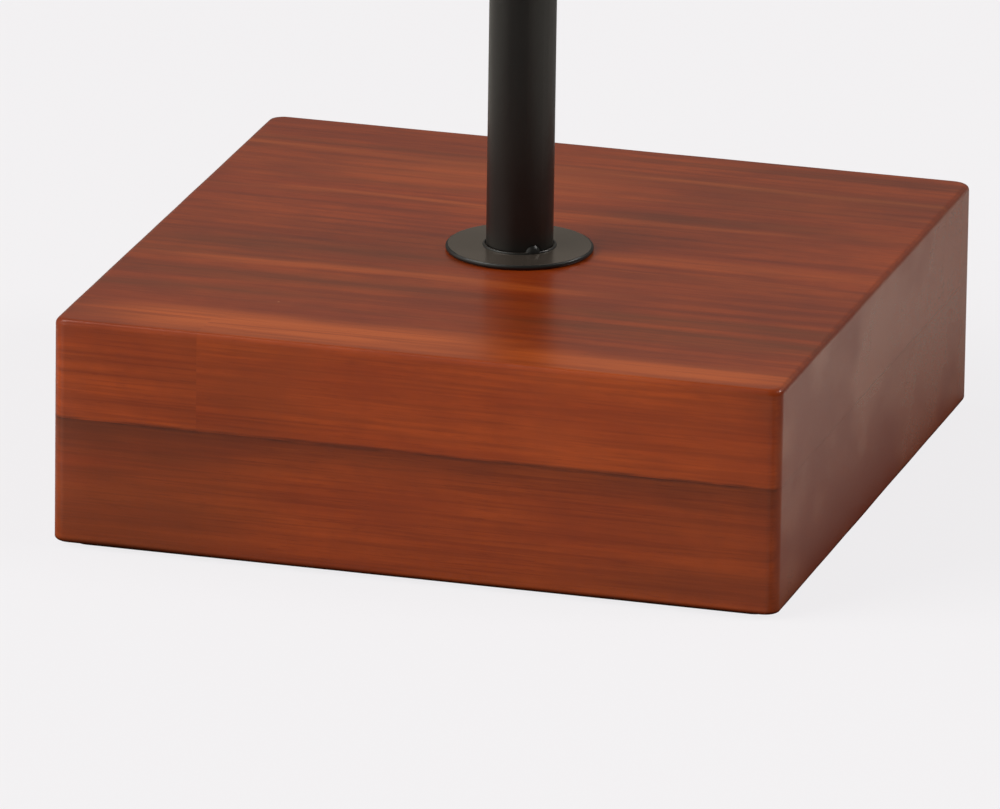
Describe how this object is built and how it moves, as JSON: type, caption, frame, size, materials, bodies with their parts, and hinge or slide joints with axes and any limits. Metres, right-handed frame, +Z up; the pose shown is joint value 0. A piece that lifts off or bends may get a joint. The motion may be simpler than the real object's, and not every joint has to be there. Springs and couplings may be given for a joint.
{
  "type": "mug tree",
  "caption": "Free-standing mug tree: a square laminated wood block carries a black steel tube with opposed pairs of upturned rod hooks and a wooden ball knob.",
  "frame": {"origin": "centre of the felt's underside, on the surface that the tree stands on", "axes": "+Z up along the post, -Y towards the front of the block, +X to the right along the lowest pair of arms"},
  "size_m": [0.161, 0.1406, 0.3548],
  "materials": {
    "block_wood": "reddish-brown stain under satin lacquer",
    "knob_wood": "reddish-brown stain under satin lacquer",
    "black_metal": "satin black powder coat",
    "plated_steel": "bright zinc plate",
    "cap_vinyl": "matte black soft vinyl",
    "felt": "dark pressed felt"
  },
  "bodies": {
    "root": {"felt_pad": "felt", "lower_board": "block_wood", "upper_board": "block_wood", "base_bolt": "plated_steel", "spring_washer": "plated_steel", "flat_washer": "plated_steel", "foot_plate": "black_metal", "foot_plug": "plated_steel", "post": "black_metal", "arm_core_low": "plated_steel", "arm_core_middle": "plated_steel", "arm_core_high": "plated_steel", "arm_1": "black_metal", "arm_2": "black_metal", "arm_3": "black_metal", "arm_4": "black_metal", "arm_5": "black_metal", "arm_6": "black_metal", "saddle_washer_1": "black_metal", "saddle_washer_2": "black_metal", "saddle_washer_3": "black_metal", "saddle_washer_4": "black_metal", "saddle_washer_5": "black_metal", "saddle_washer_6": "black_metal", "tip_cap_1": "cap_vinyl", "tip_cap_2": "cap_vinyl", "tip_cap_3": "cap_vinyl", "tip_cap_4": "cap_vinyl", "tip_cap_5": "cap_vinyl", "tip_cap_6": "cap_vinyl", "top_nut": "plated_steel", "knob_stud": "plated_steel", "knob": "knob_wood"}
  },
  "joints": []
}
